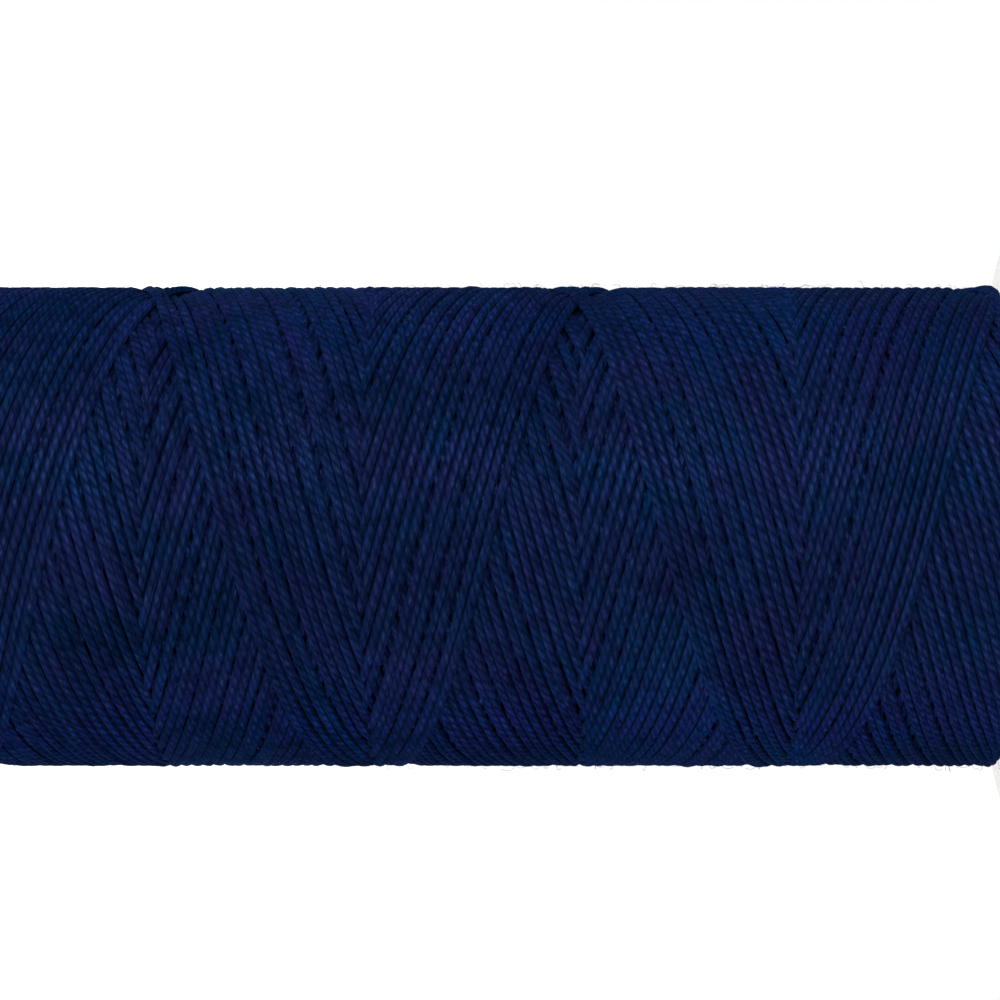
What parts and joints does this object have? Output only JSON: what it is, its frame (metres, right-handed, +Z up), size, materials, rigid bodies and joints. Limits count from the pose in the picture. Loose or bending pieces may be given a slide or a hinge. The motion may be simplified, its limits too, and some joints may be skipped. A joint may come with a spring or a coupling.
{
  "type": "spool of thread",
  "caption": "Small flanged spool with a cross-wound package of navy sewing thread and a snap cap that lifts to hold the thread's end.",
  "frame": {"origin": "centre of the foot ring on the lower flange, on the surface that the spool stands on", "axes": "+Z up along the spool's axis, towards the snap cap"},
  "size_m": [0.0234, 0.0234, 0.054],
  "materials": {
    "navy_cotton": "matt spun and plied cotton thread with a faint sheen",
    "white_plastic": "satin moulded polystyrene",
    "core_plastic": "matt extruded plastic",
    "label_paper": "coated label paper"
  },
  "bodies": {
    "spool_body": {"core_tube": "core_plastic", "lower_flange": "white_plastic", "upper_flange": "white_plastic", "lower_label": "label_paper", "thread_package": "navy_cotton", "thread_tail": "navy_cotton"},
    "cap_body": {"snap_cap": "white_plastic", "upper_label": "label_paper"}
  },
  "joints": [
    {"name": "snap_cap_slide", "type": "slide", "parent": "spool_body", "child": "cap_body", "axis": [0, 0, 1], "range_m": [0, 0.002]}
  ]
}
